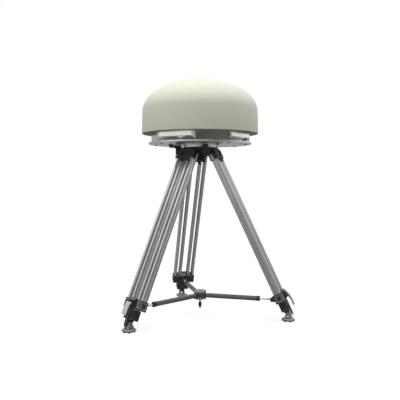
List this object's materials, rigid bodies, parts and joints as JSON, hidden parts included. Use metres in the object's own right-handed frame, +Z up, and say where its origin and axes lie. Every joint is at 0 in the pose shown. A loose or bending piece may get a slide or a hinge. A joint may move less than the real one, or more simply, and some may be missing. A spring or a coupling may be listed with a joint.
{
  "type": "gnss receiver",
  "caption": "Reference-station satellite receiver: domed radome over an octagonal metal housing on a low three-legged stand with a mid-level spreader.",
  "frame": {"origin": "centre of the stance, on the ground", "axes": "+Z up along the mast axis; -Y towards the corner of the crown between the left and right legs; the third leg points to +Y"},
  "size_m": [0.7224, 0.661, 1.017],
  "materials": {
    "radome_shell": "fine matt moulding",
    "gasket_rubber": "matt",
    "case_metal": "polished",
    "disc_metal": "polished",
    "grille_metal": "satin",
    "leg_metal": "drawn, bright anodised",
    "screw_steel": "bright",
    "dark_screw": "blackened",
    "crown_casting": "black, fine grain",
    "clamp_casting": "black, fine grain",
    "lever_metal": "satin",
    "foot_plastic": "black, fine grain",
    "shoe_rubber": "matt",
    "hub_plastic": "satin",
    "arm_plastic": "satin",
    "knob_plastic": "satin",
    "port_plastic": "satin",
    "fan_plastic": "satin",
    "antenna_plastic": "satin",
    "brass_post": "plated",
    "board_laminate": "solder mask",
    "battery_wrap": "shrink wrap"
  },
  "bodies": {
    "head": {"radome": "radome_shell", "radome_gasket": "gasket_rubber", "radome_screws": "screw_steel", "deck_plate": "disc_metal", "housing": "case_metal", "base_disc": "disc_metal", "case_screws": "dark_screw", "intake_grille": "grille_metal", "exhaust_grille": "grille_metal", "fan_frame": "fan_plastic", "port_panel": "port_plastic", "connectors": "dark_screw", "choke_ring": "grille_metal", "antenna_element": "antenna_plastic", "antenna_posts": "brass_post", "receiver_board": "board_laminate", "shield_cans": "screw_steel", "heat_sink": "dark_screw", "battery_pack": "battery_wrap", "adapter_plate": "disc_metal", "adapter_bolts": "dark_screw", "crown": "crown_casting", "corner_screws": "screw_steel", "hinge_pins": "screw_steel"},
    "fan": {"fan_rotor": "fan_plastic"},
    "door": {"port_door": "port_plastic"},
    "button": {"power_button": "knob_plastic"},
    "fixing_knob": {"fixing_screw": "knob_plastic"},
    "tension_lever_left": {"tension_lever_left": "knob_plastic"},
    "tension_lever_right": {"tension_lever_right": "knob_plastic"},
    "tension_lever_rear": {"tension_lever_rear": "knob_plastic"},
    "leg_left": {"bracket_left": "crown_casting", "outer_tubes_left": "leg_metal", "clamp_left": "clamp_casting"},
    "lower_leg_left": {"inner_tubes_left": "leg_metal", "foot_left": "foot_plastic"},
    "lever_left": {"flip_lever_left": "lever_metal"},
    "shoe_left": {"shoe_left": "shoe_rubber"},
    "leg_right": {"bracket_right": "crown_casting", "outer_tubes_right": "leg_metal", "clamp_right": "clamp_casting"},
    "lower_leg_right": {"inner_tubes_right": "leg_metal", "foot_right": "foot_plastic"},
    "lever_right": {"flip_lever_right": "lever_metal"},
    "shoe_right": {"shoe_right": "shoe_rubber"},
    "leg_rear": {"bracket_rear": "crown_casting", "outer_tubes_rear": "leg_metal", "clamp_rear": "clamp_casting"},
    "lower_leg_rear": {"inner_tubes_rear": "leg_metal", "foot_rear": "foot_plastic"},
    "lever_rear": {"flip_lever_rear": "lever_metal"},
    "shoe_rear": {"shoe_rear": "shoe_rubber"},
    "spreader_hub": {"spreader_hub": "hub_plastic"},
    "hub_handle": {"hub_handle": "knob_plastic"},
    "arm_left": {"arm_tube_left": "arm_plastic"},
    "rod_left": {"arm_rod_left": "screw_steel"},
    "arm_right": {"arm_tube_right": "arm_plastic"},
    "rod_right": {"arm_rod_right": "screw_steel"},
    "arm_rear": {"arm_tube_rear": "arm_plastic"},
    "rod_rear": {"arm_rod_rear": "screw_steel"}
  },
  "joints": [
    {"name": "fan_spin", "type": "hinge", "parent": "head", "child": "fan", "pos_m": [-0.14213, -0.09546, 0.785], "axis": [-0.7071, -0.7071, 0], "continuous": true},
    {"name": "port_door_hinge", "type": "hinge", "parent": "head", "child": "door", "pos_m": [0.17323, -0.10959, 0.76103], "axis": [-0.7071, -0.7071, 0], "range_deg": [0, 105]},
    {"name": "power_button_press", "type": "slide", "parent": "head", "child": "button", "axis": [-0.5932, 0.5932, 0.5442], "range_m": [0, 0.0012], "stiffness_N_per_m": 600, "springref_m": -0.0008},
    {"name": "fixing_screw_turn", "type": "hinge", "parent": "head", "child": "fixing_knob", "pos_m": [0, 0, 0.727], "axis": [0, 0, 1], "continuous": true},
    {"name": "tension_lever_left_turn", "type": "hinge", "parent": "head", "child": "tension_lever_left", "pos_m": [0, -0.095, 0.697], "axis": [0, 0, 1], "range_deg": [-60, 60]},
    {"name": "tension_lever_right_turn", "type": "hinge", "parent": "head", "child": "tension_lever_right", "pos_m": [0.08227, 0.0475, 0.697], "axis": [0, 0, 1], "range_deg": [-60, 60]},
    {"name": "tension_lever_rear_turn", "type": "hinge", "parent": "head", "child": "tension_lever_rear", "pos_m": [-0.08227, 0.0475, 0.697], "axis": [0, 0, 1], "range_deg": [-60, 60]},
    {"name": "leg_left_spread", "type": "hinge", "parent": "head", "child": "leg_left", "pos_m": [-0.0433, -0.025, 0.715], "axis": [-0.5, 0.866, 0], "range_deg": [-3.5, 12]},
    {"name": "leg_right_spread", "type": "hinge", "parent": "head", "child": "leg_right", "pos_m": [0.0433, -0.025, 0.715], "axis": [-0.5, -0.866, 0], "range_deg": [-3.5, 12]},
    {"name": "leg_rear_spread", "type": "hinge", "parent": "head", "child": "leg_rear", "pos_m": [0, 0.05, 0.715], "axis": [1, 0, 0], "range_deg": [-3.5, 12]},
    {"name": "leg_left_extension", "type": "slide", "parent": "leg_left", "child": "lower_leg_left", "axis": [-0.3702, -0.2137, -0.904], "range_m": [0, 0.45]},
    {"name": "flip_lever_left_open", "type": "hinge", "parent": "leg_left", "child": "lever_left", "pos_m": [-0.32996, -0.1905, 0.11202], "axis": [-0.5, 0.866, 0], "range_deg": [0, 100]},
    {"name": "shoe_left_tilt", "type": "hinge", "parent": "lower_leg_left", "child": "shoe_left", "pos_m": [-0.33169, -0.1915, 0.03], "axis": [-0.5, 0.866, 0], "range_deg": [-20, 20]},
    {"name": "leg_right_extension", "type": "slide", "parent": "leg_right", "child": "lower_leg_right", "axis": [0.3702, -0.2137, -0.904], "range_m": [0, 0.45]},
    {"name": "flip_lever_right_open", "type": "hinge", "parent": "leg_right", "child": "lever_right", "pos_m": [0.32996, -0.1905, 0.11202], "axis": [-0.5, -0.866, 0], "range_deg": [0, 100]},
    {"name": "shoe_right_tilt", "type": "hinge", "parent": "lower_leg_right", "child": "shoe_right", "pos_m": [0.33169, -0.1915, 0.03], "axis": [-0.5, -0.866, 0], "range_deg": [-20, 20]},
    {"name": "leg_rear_extension", "type": "slide", "parent": "leg_rear", "child": "lower_leg_rear", "axis": [0, 0.4274, -0.904], "range_m": [0, 0.45]},
    {"name": "flip_lever_rear_open", "type": "hinge", "parent": "leg_rear", "child": "lever_rear", "pos_m": [0, 0.381, 0.11202], "axis": [1, 0, 0], "range_deg": [0, 100]},
    {"name": "shoe_rear_tilt", "type": "hinge", "parent": "lower_leg_rear", "child": "shoe_rear", "pos_m": [0, 0.383, 0.03], "axis": [1, 0, 0], "range_deg": [-20, 20]},
    {"name": "hub_lift", "type": "slide", "parent": "head", "child": "spreader_hub", "axis": [0, 0, 1], "range_m": [-0.00606, 0.02052]},
    {"name": "hub_handle_turn", "type": "hinge", "parent": "spreader_hub", "child": "hub_handle", "pos_m": [0, 0, 0.0702], "axis": [0, 0, 1], "range_deg": [-180, 180]},
    {"name": "arm_left_tilt", "type": "hinge", "parent": "spreader_hub", "child": "arm_left", "pos_m": [-0.01645, -0.0095, 0.0864], "axis": [-0.5, 0.866, 0], "range_deg": [-1.98, 6.65]},
    {"name": "rod_left_slide", "type": "slide", "parent": "arm_left", "child": "rod_left", "axis": [-0.866, -0.5, 0], "range_m": [-0.03783, 0.12921]},
    {"name": "arm_right_tilt", "type": "hinge", "parent": "spreader_hub", "child": "arm_right", "pos_m": [0.01645, -0.0095, 0.0864], "axis": [-0.5, -0.866, 0], "range_deg": [-1.98, 6.65]},
    {"name": "rod_right_slide", "type": "slide", "parent": "arm_right", "child": "rod_right", "axis": [0.866, -0.5, 0], "range_m": [-0.03783, 0.12921]},
    {"name": "arm_rear_tilt", "type": "hinge", "parent": "spreader_hub", "child": "arm_rear", "pos_m": [0, 0.019, 0.0864], "axis": [1, 0, 0], "range_deg": [-1.98, 6.65]},
    {"name": "rod_rear_slide", "type": "slide", "parent": "arm_rear", "child": "rod_rear", "axis": [0, 1, 0], "range_m": [-0.03783, 0.12921]}
  ],
  "couplings": [
    {"joint": "leg_right_spread", "follows": "leg_left_spread", "ratio": 1},
    {"joint": "leg_rear_spread", "follows": "leg_left_spread", "ratio": 1},
    {"joint": "hub_lift", "follows": "leg_left_spread", "m_per_rad": 0.0975},
    {"joint": "arm_left_tilt", "follows": "leg_left_spread", "ratio": 0.55},
    {"joint": "rod_left_slide", "follows": "leg_left_spread", "m_per_rad": 0.616},
    {"joint": "arm_right_tilt", "follows": "leg_left_spread", "ratio": 0.55},
    {"joint": "rod_right_slide", "follows": "leg_left_spread", "m_per_rad": 0.616},
    {"joint": "arm_rear_tilt", "follows": "leg_left_spread", "ratio": 0.55},
    {"joint": "rod_rear_slide", "follows": "leg_left_spread", "m_per_rad": 0.616}
  ]
}
